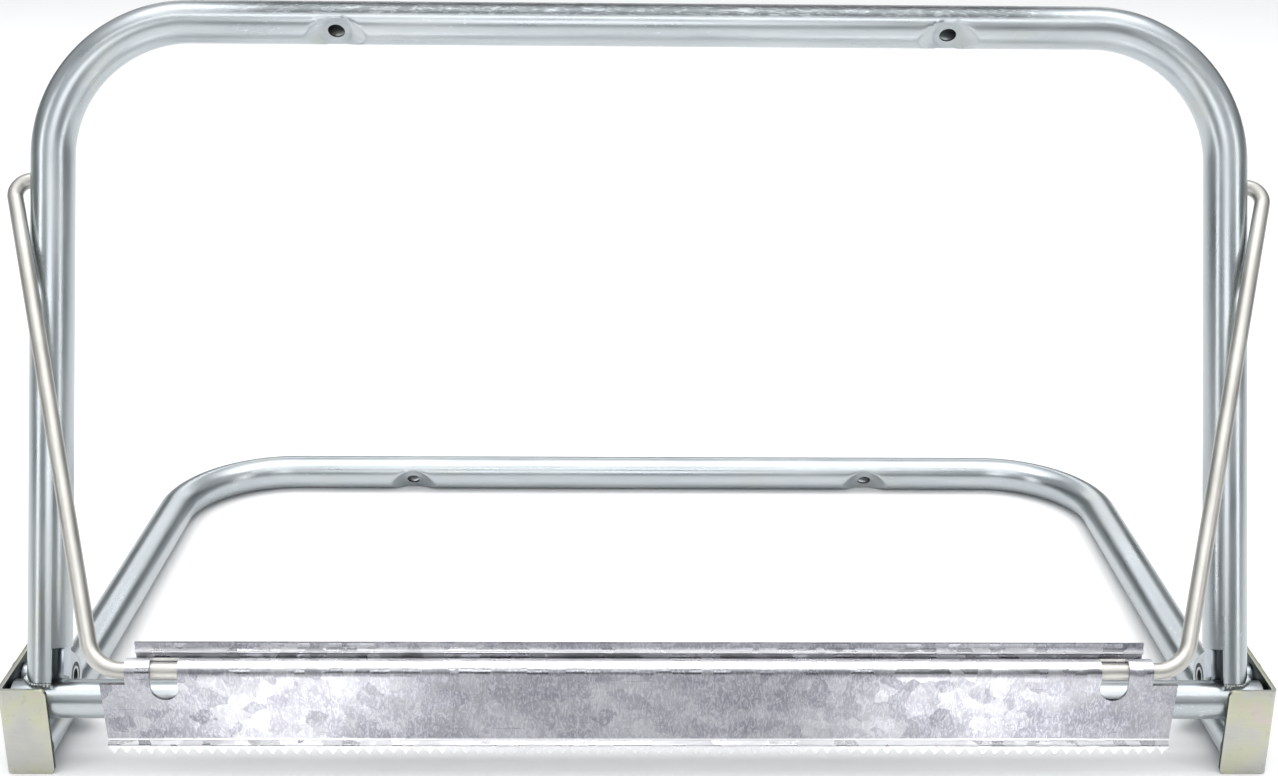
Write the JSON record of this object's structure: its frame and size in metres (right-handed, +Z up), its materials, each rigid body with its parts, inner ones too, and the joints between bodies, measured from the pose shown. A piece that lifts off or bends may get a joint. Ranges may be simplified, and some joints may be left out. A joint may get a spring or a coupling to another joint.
{
  "type": "folding sawhorse",
  "caption": "Low folding sawhorse of bent steel tube: U-shaped leg frames on a hinged cross tube, with a toothed sheet-metal jaw on a swinging rod bail.",
  "frame": {"origin": "on the floor under the middle of the object's box, with the object lying open on its rear leg frame", "axes": "+Z up from the floor; +X to the right, along the crossbars; +Y from the hinge and jaw towards the rear crossbar"},
  "size_m": [0.8264, 0.5538, 0.4656],
  "materials": {
    "zinc_tube": "bright galvanised tube, glossy with fine drawing lines",
    "zinc_plate": "zinc-plated sheet and fasteners, satin",
    "yellow_zinc": "yellow-passivated zinc plate, satin, slightly uneven colour",
    "dark_steel": "plain turned steel, satin",
    "black_nylon": "black nylon",
    "grey_rod": "drawn steel rod, dull zinc finish",
    "galvanised": "hot-dip galvanised sheet with visible spangle"
  },
  "bodies": {
    "rear_frame": {"rear_leg_frame": "zinc_tube", "end_bracket_left": "yellow_zinc", "end_bracket_right": "yellow_zinc", "pivot_pin_left": "dark_steel", "pivot_pin_right": "dark_steel", "pivot_spacer_left": "zinc_plate", "pivot_spacer_right": "zinc_plate", "pivot_washer_left": "zinc_plate", "pivot_washer_right": "zinc_plate", "bracket_bolt_left": "zinc_plate", "bracket_bolt_right": "zinc_plate", "bracket_nut_left": "zinc_plate", "bracket_nut_right": "zinc_plate", "bracket_washer_left": "zinc_plate", "bracket_washer_right": "zinc_plate"},
    "front_frame": {"front_leg_frame": "zinc_tube", "cross_tube": "zinc_tube", "hinge_lug_left": "zinc_plate", "hinge_lug_right": "zinc_plate", "pivot_bush_left": "black_nylon", "pivot_bush_right": "black_nylon"},
    "bail": {"bail_rod": "grey_rod"},
    "jaw": {"toothed_jaw": "galvanised", "jaw_back_strip": "galvanised"}
  },
  "joints": [
    {"name": "fold", "type": "hinge", "parent": "rear_frame", "child": "front_frame", "pos_m": [0, -0.16013, 0.0473], "axis": [-1, 0, 0], "range_deg": [0, 70.5]},
    {"name": "bail_swing", "type": "hinge", "parent": "front_frame", "child": "bail", "pos_m": [0, -0.0587, 0.3549], "axis": [-1, 0, 0], "range_deg": [0, 135]},
    {"name": "jaw_turn", "type": "hinge", "parent": "bail", "child": "jaw", "pos_m": [0, -0.26968, 0.11231], "axis": [1, 0, 0], "range_deg": [-140, 118]}
  ]
}
